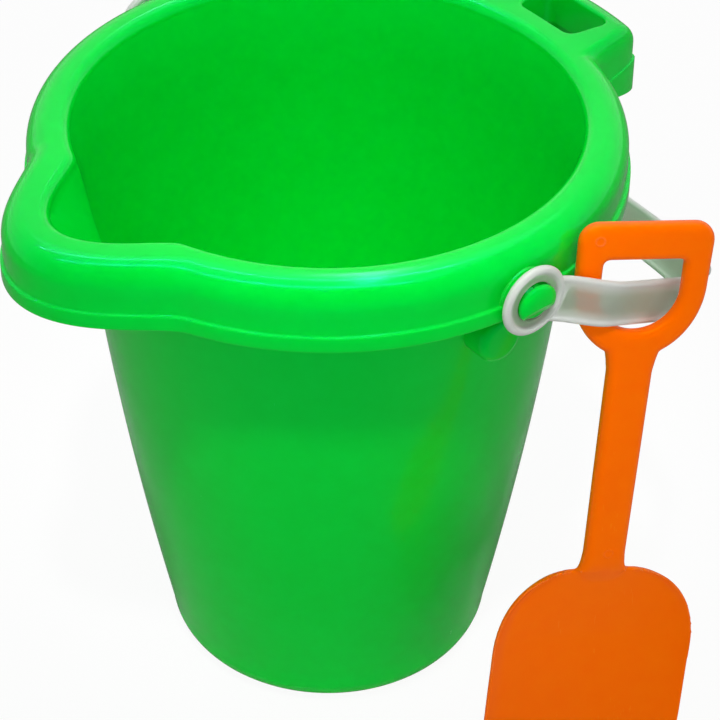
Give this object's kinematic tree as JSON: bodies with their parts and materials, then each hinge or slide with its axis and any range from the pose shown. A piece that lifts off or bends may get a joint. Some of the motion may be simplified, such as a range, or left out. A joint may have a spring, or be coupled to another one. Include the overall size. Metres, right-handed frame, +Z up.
{
  "type": "sand bucket",
  "caption": "Toy sand bucket with a rolled rim, a pouring spout, a finger grip, a strap handle swinging on side studs, and a small spade threaded on the handle.",
  "frame": {"origin": "centre of the bucket's base, on the plane it stands on", "axes": "+Z up the bucket's axis, +X towards the finger grip, -X towards the spout, and the handle's pivot line runs along Y"},
  "size_m": [0.2634, 0.2793, 0.2354],
  "materials": {
    "green_plastic": "glossy injection-moulded polypropylene, bright green",
    "natural_plastic": "milky translucent natural plastic",
    "orange_plastic": "satin injection-moulded plastic, bright orange"
  },
  "bodies": {
    "bucket": {"bucket_body": "green_plastic"},
    "handle": {"strap_handle": "natural_plastic"},
    "spade": {"spade": "orange_plastic"}
  },
  "joints": [
    {"name": "handle_swing", "type": "hinge", "parent": "bucket", "child": "handle", "pos_m": [0, 0, 0.2178], "axis": [0, 1, 0], "range_deg": [-256, 20]},
    {"name": "spade_rock", "type": "hinge", "parent": "handle", "child": "spade", "pos_m": [0.04, -0.1198, 0.21], "axis": [0.3302, 0.8805, -0.3402], "range_deg": [0, 18]}
  ]
}
